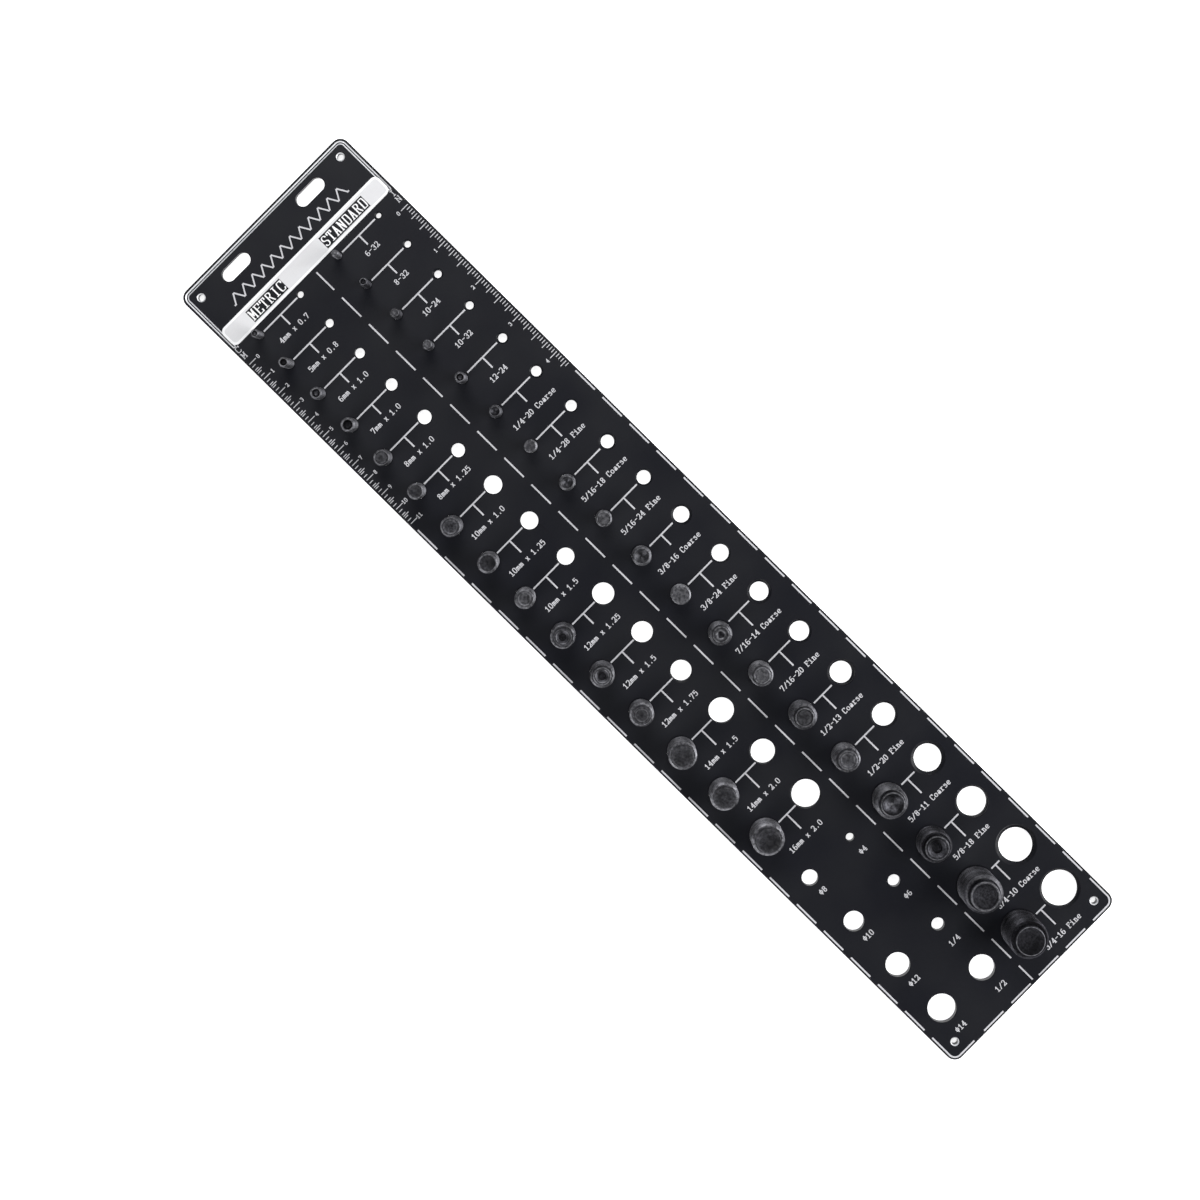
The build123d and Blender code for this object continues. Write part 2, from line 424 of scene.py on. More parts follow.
def bar(x0, x1, y0, y1):
    """A rectangle as a flat area."""
    return fill([box(x0, x1, y0, y1)])


def circle(centre, radius, columns):
    """A closed circle: centre plus radius times cosine and sine of the turn, its first point repeated."""
    turn = np.linspace(0, 2 * math.pi, columns + 1)
    return centre + radius * np.column_stack([np.cos(turn), np.sin(turn)])


def stadium(straight, centre, radius, columns):
    """A closed slot outline along Y: two half circles, each moved outwards by half of the straight."""
    upper = np.linspace(0, math.pi, columns // 2 + 1)
    turn = np.concatenate([upper, upper + math.pi, [2 * math.pi]])
    side = np.where(np.arange(len(turn)) <= columns // 2, 1, -1)
    side[-1] = 1
    loop = radius * np.column_stack([np.cos(turn), np.sin(turn)])
    loop[:, 1] += side * straight / 2
    return centre + loop


def rounded_box(half_length, half_width, radius, steps):
    """A closed rectangle with round corners: quarter circles about four centres, counter-clockwise."""
    quarter = np.linspace(0, math.pi / 2, steps)
    arcs = []
    for number, (x, y) in enumerate(((1, 1), (-1, 1), (-1, -1), (1, -1))):
        turn = quarter + number * math.pi / 2
        centre = (x * (half_length - radius), y * (half_width - radius))
        arcs.append(np.array(centre) + radius * np.column_stack([np.cos(turn), np.sin(turn)]))
    loop = np.concatenate(arcs)
    return np.concatenate([loop, loop[:1]])


# Pen strokes and letters


def rounded(points, closed):
    """Rounds a path: twice over, each corner is cut off at a quarter of the way along both its sides."""
    for _ in range(2):
        start, end = (points, np.roll(points, -1, axis=0)) if closed else (points[:-1], points[1:])
        cuts = np.stack([0.75 * start + 0.25 * end, 0.25 * start + 0.75 * end], axis=1).reshape(-1, 2)
        points = cuts if closed else np.concatenate([points[:1], cuts[1:-1], points[-1:]])
    return points


def brush(points, closed, nib):
    """The patches that an oval nib covers along a path: at each point the nib's reach across the path,
    its half axes squared times the path's normal, over the length of the half axes times that normal.
    """
    if closed:
        points = np.concatenate([points, points[:1]])
        along = np.roll(points[:-1], -1, axis=0) - np.roll(points[:-1], 1, axis=0)
        along = np.concatenate([along, along[:1]])
    else:
        along = np.gradient(points, axis=0)
    normal = np.column_stack([-along[:, 1], along[:, 0]])
    normal /= np.linalg.norm(normal, axis=1, keepdims=True)
    reach = nib**2 * normal
    reach /= np.linalg.norm(nib * normal, axis=1, keepdims=True)
    left = points + reach
    right = points - reach
    return list(np.stack([right[:-1], right[1:], left[1:], left[:-1]], axis=1))


def straight_strokes(points, nib):
    """The patches of a path of straight strokes, each drawn past its ends by half of the nib."""
    patches = []
    for start, end in zip(points, points[1:]):
        along = (end - start) / np.linalg.norm(end - start)
        over = along * np.linalg.norm(nib * along)
        patches += brush(np.array([start - over, end + over]), False, nib)
    return patches


@functools.lru_cache(maxsize=None)
def letter(sign, width, height, nib):
    """A letter about its middle, as a flat area: the sum of all the patches of its pen strokes."""
    nib = np.array(nib)
    patches = []
    for stroke in STROKES[sign].split(","):
        stroke = stroke.strip()
        kind = stroke[0] if stroke[0] in "~o" else ""
        codes = stroke.lstrip("~o").split()
        points = np.array([(int(code[0]), int(code[1])) for code in codes]) / LETTER_GRID - 0.5
        points = points * ((width, height) - 2 * nib)
        if kind:
            closed = kind == "o"
            patches += brush(rounded(points, closed), closed, nib)
        else:
            patches += straight_strokes(points, nib)
    return fill(patches)


def words(text, at, height, advance, nib, focus=None):
    """A line of evenly spaced letters, centred on a place or with one letter on it."""
    middle = (len(text) - 1) / 2 if focus is None else focus
    width = advance * LETTER_SHARE
    return [
        place(letter(sign, width, height, nib), (at[0], at[1] + (number - middle) * advance))
        for number, sign in enumerate(text)
        if sign != " "
    ]


# Materials


def linear(hex_colour):
    """An sRGB hex colour as linear red, green, blue and alpha."""
    channels = [int(hex_colour[start : start + 2], 16) / 255 for start in (1, 3, 5)]
    return (*(c / 12.92 if c <= 0.04045 else ((c + 0.055) / 1.055) ** 2.4 for c in channels), 1.0)


def add_node(tree, kind, sockets=None, **settings):
    """Adds a node with its settings. A socket is given a value, or another node's output to link to."""
    node = tree.nodes.new(kind)
    for name, value in settings.items():
        setattr(node, name, value)
    for name, value in (sockets or {}).items():
        if isinstance(value, bpy.types.NodeSocket):
            tree.links.new(value, node.inputs[name])
        else:
            node.inputs[name].default_value = value
    return node


def new_material(name):
    """An empty node material and its tree."""
    material = bpy.data.materials.new(name)
    material.use_nodes = True
    material.node_tree.nodes.clear()
    return material, material.node_tree


def finish_material(tree, sockets):
    """Ends a tree with a principled shader."""
    shader = add_node(tree, "ShaderNodeBsdfPrincipled", sockets)
    add_node(tree, "ShaderNodeOutputMaterial", {"Surface": shader.outputs["BSDF"]})


def blotches(tree, size_mm, detail, low, high, squeeze=(1, 1, 1)):
    """Soft noise with patches of a size, squeezed along some axes, and spread from 0 to 1 between two of its
    levels.
    """
    at = add_node(tree, "ShaderNodeTexCoord").outputs["Object"]
    squeezed = add_node(tree, "ShaderNodeVectorMath", {0: at, 1: squeeze}, operation="MULTIPLY")
    noise = add_node(
        tree,
        "ShaderNodeTexNoise",
        {"Vector": squeezed.outputs["Vector"], "Scale": 1 / (size_mm * MM), "Detail": detail},
    )
    levels = add_node(
        tree, "ShaderNodeMapRange", {"Value": noise.outputs["Fac"], "From Min": low, "From Max": high}
    )
    return levels.outputs["Result"]


def blend_colours(tree, factor, first, second):
    """A colour between two, by a factor."""
    # A Mix node takes its two colours on sockets 6 and 7, and gives the blended one on output 2
    mix = add_node(tree, "ShaderNodeMix", {0: factor, 6: first, 7: second}, data_type="RGBA")
    return mix.outputs[2]


def spread(tree, factor, low, high):
    """A number between two, by a factor."""
    node = add_node(tree, "ShaderNodeMapRange", {"Value": factor, "To Min": low, "To Max": high})
    return node.outputs["Result"]


def anodised_aluminium(dye):
    """Bead-blasted aluminium, anodised black: a satin, slightly blue black with an even fine grain, and a
    dye that took a little unevenly, in patches some 40 mm wide.
    """
    material, tree = new_material("black_anodised_aluminium")
    # The blasting's own grain of about 0.1 mm is too fine to show, so it is drawn at 0.35 mm
    grain = blotches(tree, 0.35, 3, 0.3, 0.7)
    uneven = blotches(tree, 38, 2, 0.35, 0.65)
    tone = blend_colours(tree, uneven, (*dye, 1), linear("#131419"))
    tone = blend_colours(tree, spread(tree, grain, 0.0, 0.3), tone, linear("#1d1e24"))
    bump = add_node(tree, "ShaderNodeBump", {"Height": grain, "Strength": 0.12, "Distance": 0.02 * MM})
    finish_material(
        tree,
        {
            "Base Color": tone,
            "Roughness": spread(tree, uneven, 0.38, 0.45),
            "IOR": 1.5,
            "Specular IOR Level": 0.25,
            "Normal": bump.outputs["Normal"],
        },
    )
    return material


def milled_aluminium():
    """Aluminium cut through its anodising: bright bare metal with the fine lines of the cutter."""
    material, tree = new_material("milled_aluminium")
    # The cutter's own lines, about 0.1 mm apart, are too fine to show, so they are drawn as 0.3 mm specks
    lines = blotches(tree, 0.3, 2, 0.3, 0.7)
    bump = add_node(tree, "ShaderNodeBump", {"Height": lines, "Strength": 0.2, "Distance": 0.02 * MM})
    finish_material(
        tree,
        {
            "Base Color": blend_colours(tree, lines, linear("#dcdde0"), linear("#f6f7fa")),
            "Metallic": 0.4,
            "Roughness": spread(tree, lines, 0.34, 0.5),
            "Normal": bump.outputs["Normal"],
        },
    )
    return material


def black_oxide_steel(oxide):
    """Steel turned and threaded, then blackened: a dark grey skin, mottled, with light and dark bands 3 mm
    high up the thread. In places its rims are painted lighter towards bright steel, partly for wear and
    partly as a painted highlight, and its crests less, for wear. The ends keep the rings of the turning
    tool.
    """
    material, tree = new_material("black_oxide_steel")
    # This attribute says how much lighter each point is painted: wear, and painted light on rims, thread
    # ends and shoulders.
    worn = add_node(tree, "ShaderNodeAttribute", attribute_name="worn").outputs["Fac"]
    oily = add_node(tree, "ShaderNodeMapRange", {"Value": worn, "From Min": 0, "From Max": -1})
    axis = add_node(tree, "ShaderNodeAttribute", attribute_name="axis_mm").outputs["Fac"]
    # Wear and painted highlight come in patches of about 1.3 mm, and the light and dark bands are 3 mm high.
    # The skin's own mottle, about 0.3 mm across, and the tool's rings, about 0.15 mm apart, are too fine to
    # show, so they are drawn at 1 mm and at 0.6 mm.
    ring_step = 0.6
    patches = blotches(tree, 1.3, 2, 0.35, 0.65)
    mottle = blotches(tree, 1.0, 2, 0.38, 0.62)
    bands = blotches(tree, 3.0, 1, 0.35, 0.65, (0.25, 0.25, 1))
    rings = add_node(tree, "ShaderNodeMath", {0: axis, 1: 2 * math.pi / ring_step}, operation="MULTIPLY")
    rings = add_node(tree, "ShaderNodeMath", {0: rings.outputs[0]}, operation="SINE")
    patchy = spread(tree, patches, 0.3, 1.0)
    worn = add_node(tree, "ShaderNodeMath", {0: worn, 1: patchy}, operation="MULTIPLY")
    tone = blend_colours(tree, bands, (*oxide, 1), linear("#48484d"))
    tone = blend_colours(tree, spread(tree, mottle, 0.0, 0.7), tone, linear("#161618"))
    tone = blend_colours(tree, oily.outputs["Result"], tone, linear("#08080a"))
    # Painted lighter towards bright steel by the attribute: wear, and a painted highlight on rims and thread
    # ends.
    tone = blend_colours(tree, worn.outputs[0], tone, linear("#c4c4ca"))
    bump = add_node(
        tree, "ShaderNodeBump", {"Height": rings.outputs[0], "Strength": 0.4, "Distance": 0.008 * MM}
    )
    finish_material(
        tree,
        {
            "Base Color": tone,
            "Metallic": 0.8,
            "Roughness": spread(tree, patches, 0.38, 0.46),
            "Specular Tint": (0.4, 0.4, 0.43, 1),
            "Normal": bump.outputs["Normal"],
        },
    )
    return material


def marked_aluminium(name, light, dark):
    """Anodising bleached by a laser: a matt, faintly grained near-white."""
    material, tree = new_material(name)
    # The laser's own lines, about 0.05 mm apart, are too fine to show, so they are drawn as a 0.3 mm grain
    grain = blotches(tree, 0.3, 3, 0.3, 0.7)
    finish_material(
        tree,
        {
            "Base Color": blend_colours(tree, grain, linear(light), linear(dark)),
            "Roughness": 0.75,
            "Specular IOR Level": 0.3,
        },
    )
    return material


def pale_floor(white, glow):
    """A white acrylic table, lit from inside by lamps some 300 mm apart: it glows almost evenly, so that no
    shadow shows on it.
    """
    material, tree = new_material("lit_white_table")
    tone = blend_colours(tree, blotches(tree, 300, 1, 0.2, 0.8), (*white, 1), linear("#fbfbfc"))
    finish_material(
        tree,
        {"Base Color": tone, "Roughness": 0.9, "Emission Color": tone, "Emission Strength": glow},
    )
    return material


@functools.lru_cache(maxsize=None)
def marking():
    """The print's material, made once."""
    return marked_aluminium("laser_marked_aluminium", "#ccccd0", "#bebec2")


# Pieces


def add_object(name, data):
    """Adds an object to the scene."""
    added = bpy.data.objects.new(name, data)
    bpy.context.scene.collection.objects.link(added)
    return added


def new_mesh(name, surface, material):
    """A mesh in metres from a surface in millimetres."""
    points, triangles = surface
    mesh = bpy.data.meshes.new(name)
    mesh.from_pydata(points[:, :3] * MM, [], triangles)
    mesh.materials.append(material)
    return mesh


def make_piece(name, surface, material, smooth=0.0, attributes=None):
    """Puts a surface into a mesh at the origin, smooth below an angle, and rides it on the one body."""
    mesh = new_mesh(name, surface, material)
    for title, values in (attributes or {}).items():
        layer = mesh.attributes.new(title, "FLOAT", "POINT")
        layer.data.foreach_set("value", values.astype(np.float32))
    mesh.update()
    if smooth:
        mesh.shade_smooth()
        mesh.set_sharp_from_angle(angle=math.radians(smooth))
    piece = add_object(name, mesh)
    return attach(piece, BODY)


def columns_for(radius):
    """How many columns a round surface gets: 12 for each 1.1 mm of its radius, from 36 to 96. A multiple
    of 12 puts a hexagon's corners on them.
    """
    return 12 * int(min(max(round(0.9 * radius), 3), 8))


def thread_rows(major, pitch, depth, low, high, columns):
    """A 60 degree thread between two heights, as rows of turn, radius and height.

    Each row climbs one pitch in a turn, so height = start + pitch * turn, held between the two heights. Away
    is the distance along the axis from the nearest crest, and the radius is the major radius less root three
    times what away has past the crest's flat, down to the thread's depth.
    """
    turn = np.linspace(0, 1, columns + 1)
    flank = CREST_HALF + depth / FLANK
    shares = np.array([-flank, -CREST_HALF, CREST_HALF, flank])
    turns = np.arange(math.floor(low / pitch) - 1, math.ceil(high / pitch) + 2)
    start = (turns[:, None] + shares).ravel() * pitch
    height = np.clip(start[:, None] + pitch * turn, low, high)
    away = np.abs((height / pitch - turn + 0.5) % 1 - 0.5) * pitch
    radius = major - np.clip((away - CREST_HALF * pitch) * FLANK, 0, depth * pitch)
    return np.broadcast_to(turn, height.shape), radius, height


def around(centre, turn, radius, height, worn=0.0):
    """Points round an upright axis from turns, radii and heights, with each one's wear and painted light."""
    x = centre[0] + radius * np.cos(2 * math.pi * turn)
    y = centre[1] + radius * np.sin(2 * math.pi * turn)
    return np.stack([x, y, height, np.broadcast_to(worn, x.shape)], axis=-1)


def tapped_wall(thread, mouth):
    """A tapped hole from top to bottom: the thread's radius, or more inside the cones at both mouths, whose
    radius is the mouth's less the distance from its face.
    """
    turn, radius, height = thread_rows(
        thread.major, thread.pitch, TAPPED_DEPTH, 0.0, PLATE.thick, columns_for(thread.major)
    )
    cones = mouth - np.minimum(height, PLATE.thick - height)
    return around(thread.hole, turn, np.maximum(radius, cones), height)[::-1, :, :3]


def plain_wall(outline, centre, radius, columns, upper, lower):
    """A plain bore or slot from top to bottom: its outline, which each mouth widens by its own depth."""
    profile = ((upper, PLATE.thick), (0, PLATE.thick - upper), (0, lower), (lower, 0))
    return np.array([at_height(outline(centre, radius + out, columns), height) for out, height in profile])


def bore_walls(settings):
    """The walls of all bores and slots, and which of them are countersunk."""
    mouth = settings.mouth_chamfer / MM
    walls = []
    for centre, radius, straight in PLATE.bores:
        sunk = max(PLATE.thick - straight, mouth)
        walls.append(plain_wall(circle, centre, radius, columns_for(radius), sunk, mouth))
    countersunk = [number for number, bore in enumerate(PLATE.bores) if PLATE.thick - bore[2] > mouth]
    for thread in THREADS.values():
        seat = thread.major + settings.seat_gap / MM
        walls.append(plain_wall(circle, thread.stud, seat, columns_for(thread.major), mouth, mouth))
        wide = thread.minor + mouth if thread.metric else thread.major + INCH_SINK * thread.pitch
        walls.append(tapped_wall(thread, wide))
    slots = MOUNTS["hanging_slots"]
    radius = slots["dims"]["hole_r_mm"]
    outline = functools.partial(stadium, slots["dims"]["slot_length_mm"] - 2 * radius)
    for side in (-1, 1):
        centre = millimetres(slots["pos_m"])[:2] + (0, side * slots["dims"]["spacing_y_mm"] / 2)
        walls.append(plain_wall(outline, centre, radius, SLOT_COLUMNS, mouth, mouth))
    return walls, countersunk


def groove_loops(settings, half_width):
    """The head frame's groove, as a counter-clockwise loop round its edges and the same loop on its middle
    line.

    Its middle line runs in from each long edge by the inset, round the two head corners, to the end. An edge
    lies half a width to either side, and half circles close the ends, round the ends of the middle line.
    """
    inset = settings.groove_inset / MM
    end = settings.groove_length / MM - PLATE.half_length
    corner = settings.corner_radius / MM
    quarter = np.linspace(0, math.pi / 2, CORNER_STEPS)

    def side(offset):
        """The line round the head at a distance inside the plate's edge."""
        radius = corner - offset
        x = -PLATE.half_length + corner
        y = PLATE.half_width - corner
        first = np.array([x, -y]) - radius * np.column_stack([np.sin(quarter), np.cos(quarter)])
        second = np.array([x, y]) + radius * np.column_stack([-np.cos(quarter), np.sin(quarter)])
        ends = np.array([[end, offset - PLATE.half_width], [end, PLATE.half_width - offset]])
        return np.concatenate([ends[:1], first, second, ends[1:]])

    middle = side(inset)
    cap = np.linspace(math.pi / 2, -math.pi / 2, CORNER_STEPS)[1:-1]
    round_end = half_width * np.column_stack([np.cos(cap), np.sin(cap)])
    near, far = side(inset - half_width), side(inset + half_width)
    loop = np.concatenate([near, middle[-1] + round_end, far[::-1], middle[0] + round_end])
    ends = [np.repeat(end, len(cap), axis=0) for end in (middle[-1:], middle[:1])]
    line = np.concatenate([middle, ends[0], middle[::-1], ends[1]])
    return [np.concatenate([ring, ring[:1]])[::-1] for ring in (loop, line)]


def plate_surface(settings):
    """The plate: a wall round its outline, a wall in each bore and slot, its two pierced faces and the
    groove, with which of its triangles are bare metal: the groove's walls and the countersinks.
    """
    thick = PLATE.thick
    corner = settings.corner_radius / MM
    edge = settings.edge_chamfer / MM
    outer = []
    for inset, height in ((edge, 0), (0, edge), (0, thick - edge), (edge, thick)):
        half_length, half_width = PLATE.half_length - inset, PLATE.half_width - inset
        outer.append(at_height(rounded_box(half_length, half_width, corner - inset, CORNER_STEPS), height))
    walls, countersunk = bore_walls(settings)

    half, depth = settings.groove_width / MM / 2, settings.groove_depth / MM
    loop, _ = groove_loops(settings, half)
    base, middle = groove_loops(settings, half - GROOVE_LEAN * depth)
    groove = [at_height(loop, thick), at_height(base, thick - depth)]
    floor = [at_height(base, thick - depth), at_height(middle, thick - depth)]
    top, top_faces = fill([outer[-1][:-1]], [wall[0][:-1] for wall in walls] + [loop[:-1]])
    back, back_faces = fill([outer[0][:-1]], [wall[-1][:-1] for wall in walls])
    black = [skin(outer), skin(floor)]
    black += [(at_height(top, thick), top_faces), (at_height(back, 0.0), back_faces[:, ::-1])]
    black += [skin(wall[1:] if number in countersunk else wall) for number, wall in enumerate(walls)]
    bright = [skin(groove)] + [skin(walls[number][:2]) for number in countersunk]
    points, triangles = join(black + bright)
    bare = np.arange(len(triangles)) >= len(triangles) - sum(len(faces) for _, faces in bright)
    points, triangles, kept = weld(points, triangles)
    return (points, triangles), bare[kept]


def screw_surface(name, thread):
    """A set screw from the bottom of its socket, out over its back end, up its thread and over its tip, with
    how much lighter each point is painted, by wear and by painted highlight, and how far it is from the
    axis.

    The socket's radius is its half width across flats over the cosine of the turn from the nearest flat.
    The thread is held inside two 45 degree cones, which leave its root at both ends, and it is worn by the
    cube of how far a point stands out from the root. The tip's rings follow its form.
    """
    end_wear_and_painted_light = THREAD_END_WEAR_AND_PAINTED_LIGHT if name in THREAD_END_HIGHLIGHT_SCREWS else RIM_WEAR_AND_PAINTED_LIGHT
    columns = columns_for(thread.major)
    depth = SCREW_DEPTH * thread.pitch
    root = thread.major - depth
    shoulder = thread.full + depth
    turn = np.linspace(0, 1, columns + 1)

    def ring(radius, height, worn=0.0):
        """A level ring of points round the screw's axis."""
        radius = np.broadcast_to(radius, turn.shape)
        return around(thread.stud, turn, radius, np.full(turn.shape, height), worn)

    flat = SOCKET_SHARE * thread.major
    hexagon = flat / np.cos((turn * 2 * math.pi) % (math.pi / 3) - math.pi / 6)
    socket_end = thread.back + SOCKET_DEPTH_SHARE * 2 * thread.major
    cone_end = socket_end + SOCKET_CONE_DEPTH_SHARE * 2 * thread.major
    socket = [ring(0.0, cone_end), ring(SOCKET_CONE_SHARE * flat, socket_end)]
    socket += [ring(hexagon, socket_end), ring(hexagon, thread.back)]

    turns, radius, height = thread_rows(
        thread.major, thread.pitch, SCREW_DEPTH, thread.back, shoulder, columns
    )
    radius = np.minimum(radius, root + np.minimum(shoulder - height, height - thread.back))
    crest = np.clip((radius - root) / depth, 0, 1)
    # Crests are lightened for wear. The last turns past the full thread are painted lighter, partly wear,
    # partly highlight.
    worn = np.maximum(CREST_WEAR * crest**3, end_wear_and_painted_light.last_crest * (height > thread.full))
    body = around(thread.stud, turns, radius, height, worn)

    end = root
    tip = []
    if thread.top - shoulder > POINT_CHAMFER:
        point = POINT_SHARE * thread.major
        end = point - POINT_CHAMFER
        # Painted light: on some screws the shoulder at the point's foot is lighter, against the shade the
        # point casts.
        tip = [ring(point, shoulder, end_wear_and_painted_light.shoulder)]
        # The point's side and rim are painted lighter towards the top, partly wear and partly a painted
        # highlight.
        tip += [ring(point, thread.top - POINT_CHAMFER, POINT_WEAR_AND_HIGHLIGHT), ring(end, thread.top, end_wear_and_painted_light.rim)]
    # Each ring of the end is lightened by its form, partly for wear and partly as a painted highlight.
    for share, drop, bare in TIP_FORMS[thread.tip]:
        tip.append(ring(share * end, thread.top - drop * end, bare))

    points, triangles = skin(np.concatenate([socket, body, tip]))
    points, triangles, _ = weld(points, triangles)
    axis = np.hypot(*(points[:, :2] - thread.stud).T)
    near = 1e-3
    # The rim round the end gets its painted highlight and wear; every other point adds the screw's all-over
    # rub.
    rim = (points[:, 2] > thread.top - near) & (axis > end - near)
    worn = np.where(rim, end_wear_and_painted_light.rim, points[:, 3] + thread.rubbed)
    return (points, triangles), {"worn": worn, "axis_mm": axis}


def make_mark(name, flats, settings, material=None, level=0):
    """A printed mark: flat areas joined and given the print's thickness, one layer above another."""
    thin = settings.thickness / MM
    low = PLATE.thick + level * thin
    return make_piece(name, slab(join(flats), low, low + thin), material or marking())


def printed_rows(metric):
    """A series' threads, each with the place of the middle of its leader line, as it is printed."""
    series = [thread for thread in THREADS.values() if thread.metric == metric]
    for number, thread in enumerate(series):
        lean = METRIC_LEAN if metric else INCH_LEANS[number]
        middle = (thread.stud[1] + thread.hole[1]) / 2 + lean
        yield thread, thread.stud[0] + PRINT_SHIFTS[number], middle


def leader_marks(metric, settings):
    """For each thread a line from its screw to its hole, with a branch from its middle to the label."""
    half = settings.line_width / MM / 2
    gaps = METRIC_GAPS if metric else INCH_GAPS
    flats = []
    for thread, row, middle in printed_rows(metric):
        at_stud, at_hole = (gap + share * thread.pitch for gap, share in gaps)
        start = thread.stud[1] + thread.major + at_stud
        end = thread.hole[1] - thread.minor - at_hole
        line = box(row - half, row + half, start, end)
        flats.append(fill([line, box(row, row + thread.branch, middle - half, middle + half)]))
    return flats


def label_marks(metric, settings):
    """The thread's sizes in words, each below its leader line, with the x of a metric one on its middle."""
    height = settings.letter_height / MM
    advance = settings.letter_advance / MM
    flats = []
    for thread, row, middle in printed_rows(metric):
        focus = thread.label.index("x") if metric else None
        flats += words(thread.label, (row + thread.drop, middle), height, advance, LABEL_NIB, focus)
    if metric:
        for name, (text, drop) in PLAIN_LABELS.items():
            x, y = millimetres(MOUNTS[name]["pos_m"])[:2]
            flats += words(text, (x + drop, y), height, advance, LABEL_NIB)
    return flats


def ruler_marks():
    """A centimetre ruler on the metric edge and an inch ruler on the inch edge, from one zero line. A tick
    comes in as far as the first of its ruler's reaches whose number of steps divides its own number.
    """
    edge = PLATE.half_width
    half_tick = 0.2
    tick_gap = 1.1
    number_height, number_advance = 2.2, 1.5
    unit_height, unit_width, unit_gap, unit_step, units_before = 3.2, 2.9, 2.4, 3.9, 8.9
    flats = []
    for side, step, last, to_number, reaches, numbers_in, unit in RULERS:
        for tick in range(last + 1):
            reach = next((inwards for steps, inwards in reaches if tick % steps == 0), None)
            if reach:
                x = RULER_ZERO + tick * step
                start, end = sorted((side * (edge - tick_gap), side * (edge - reach)))
                flats.append(bar(x - half_tick, x + half_tick, start, end))
        for number in range(last // to_number + 1):
            at = (RULER_ZERO + number * to_number * step, side * (edge - numbers_in))
            flats += words(str(number), at, number_height, number_advance, NUMBER_NIB)
        for number, sign in enumerate(unit):
            at = (RULER_ZERO - units_before + unit_step * number, side * (edge - unit_gap))
            flats += words(sign, at, unit_height, unit_width, UNIT_NIB)
    return flats


def dash_marks(settings):
    """A dashed border round the lower part of the plate and a dashed line down its middle. The last dash on
    each long edge goes on round the foot's corner.
    """
    half = settings.line_width / MM / 2
    dash = 13.2
    pitch = 18.45
    inset = 1.36
    border_start, border_dashes = -102.9, 19
    corner_end = 41.0
    foot_dashes = (-34.2, -15.3, 3.6, 22.2)
    middle_first = (-225.7, -213.6)
    middle_start, middle_dashes, middle_end = -208.3, 26, 262.4

    side = PLATE.half_width - inset
    foot = PLATE.half_length - inset
    flats = []
    for number in range(border_dashes):
        x = border_start + number * pitch
        for y in (-side, side):
            flats.append(bar(x, x + dash, y - half, y + half))
    corner = bpy.context.scene.thread_plate.corner_radius / MM - inset
    quarter = np.linspace(0, math.pi / 2, DASH_STEPS)
    for y in (-1, 1):
        centre = np.array([foot - corner, y * (side - corner)])
        start = [[border_start + border_dashes * pitch, y * side]]
        arc = centre + corner * np.column_stack([np.sin(quarter), y * np.cos(quarter)])
        path = np.concatenate([start, arc, [[foot, y * corner_end]]])
        flats.append(fill(brush(path, False, np.array([half, half]))))
    for y in foot_dashes:
        flats.append(bar(foot - half, foot + half, y, y + dash))
    flats.append(bar(*middle_first, -half, half))
    for number in range(middle_dashes):
        x = middle_start + number * pitch
        flats.append(bar(x, min(x + dash, middle_end), -half, half))
    return flats


def thread_profile(x, y, across, periods, height):
    """The outline of a 60 degree thread, drawn across the head: crest, flank, root, flank. A flank takes its
    height over root three of the pitch, and the crest's and the root's flats share what is left.
    """
    pitch = across / periods
    flat = (pitch - 2 * height / FLANK) / 2
    one = np.array([(0, 0), (0, flat), (-height, flat + height / FLANK), (-height, pitch - height / FLANK)])
    turns = np.arange(periods)[:, None, None] * np.array([0, pitch])
    path = np.concatenate([(one + turns).reshape(-1, 2), [(0, across), (0, across + flat)]])
    return path + (x + height / 2, y - (across + flat) / 2)


def heading_marks(settings):
    """The light bar across the head with two windows, the words in them, and a drawn thread above."""
    bar_at = np.array([-233.45, 0.15])
    half_x, half_y, radius, rim = 5.45, 53.65, 3.0, 1.2
    window_top, window_foot = -236.6, -229.75
    row, letter_height = -233.2, 5.4
    profile_row, profile_length, profile_periods, profile_height = -244.7, 77.5, 12, 4.6

    outline = rounded_box(half_x, half_y, radius, BAR_STEPS)[:-1] + bar_at
    inner = rounded_box(half_x - rim, half_y - rim, radius - rim, BAR_STEPS)[:-1] + bar_at
    windows = [box(window_top, window_foot, start, end) for _, start, end, _, _ in HEADING]
    whitened = marked_aluminium("laser_whitened_aluminium", "#dedee0", "#d7d7d9")
    edge = marked_aluminium("laser_whitened_edge", "#f8f8f9", "#f0f0f2")
    make_mark("heading_bar", [fill([outline], windows)], settings, whitened)
    make_mark("heading_bar_rim", [fill([outline], [inner])], settings, edge, 1)
    names = []
    for text, _, _, middle, advance in HEADING:
        names += words(text, (row, middle), letter_height, advance, HEADING_NIB)
    make_mark("heading_words", names, settings, edge)
    profile = thread_profile(profile_row, 0, profile_length, profile_periods, profile_height)
    line = fill(straight_strokes(profile, np.array(PROFILE_NIB)))
    make_mark("heading_thread_line", [line], settings)


def soft_light(name, at, target, size, power):
    """A square soft box that points at a place. All in metres and watts."""
    data = bpy.data.lights.new(name, "AREA")
    data.size = size
    data.energy = power
    light = add_object(name, data)
    light.location = at
    light.rotation_euler = (Vector(target) - Vector(at)).to_track_quat("-Z", "Y").to_euler()


def length(name, about, default_mm):
    """A length that a user can change, kept in metres as Blender shows it."""
    return FloatProperty(name=name, description=about, default=default_mm * MM, unit="LENGTH", precision=5)


def colour(name, about, hex_colour):
    """A colour that a user can change."""
    return FloatVectorProperty(
        name=name, description=about, default=linear(hex_colour)[:3], subtype="COLOR", min=0, max=1
    )


def strength(name, about, default):
    """A strength from 0 to 1 that a user can change."""
    return FloatProperty(name=name, description=about, default=default, subtype="FACTOR", min=0, max=1)


